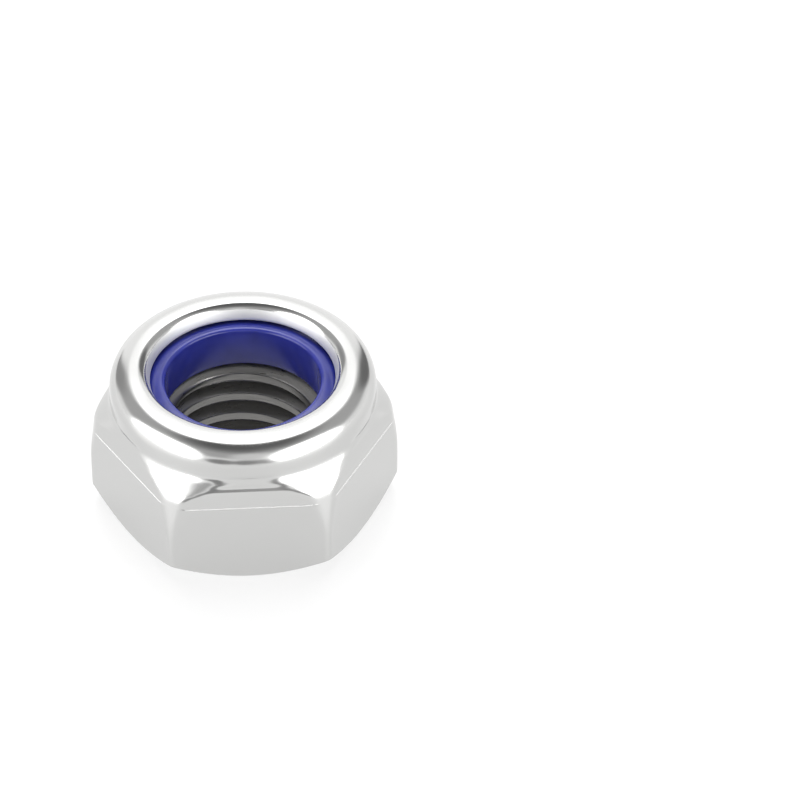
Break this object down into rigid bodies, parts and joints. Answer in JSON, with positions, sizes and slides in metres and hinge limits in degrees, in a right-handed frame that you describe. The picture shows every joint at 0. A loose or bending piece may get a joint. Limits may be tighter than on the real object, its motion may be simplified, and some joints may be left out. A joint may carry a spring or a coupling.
{
  "type": "nylon insert lock nut",
  "caption": "Hexagon nut with a rolled round collar that holds a blue nylon ring, whose tight bore grips the screw so that the nut can't shake loose.",
  "frame": {"origin": "centre of the bearing face, on the thread's axis", "axes": "+Z along the thread, from the bearing face to the nylon insert; two wrench flats face -Y and +Y"},
  "size_m": [0.0148, 0.013, 0.0078],
  "materials": {
    "metal": "bright polished stainless steel",
    "nylon": "moulded blue nylon, softly glossy"
  },
  "bodies": {
    "root": {"nut_body": "metal", "nylon_insert": "nylon"}
  },
  "joints": []
}
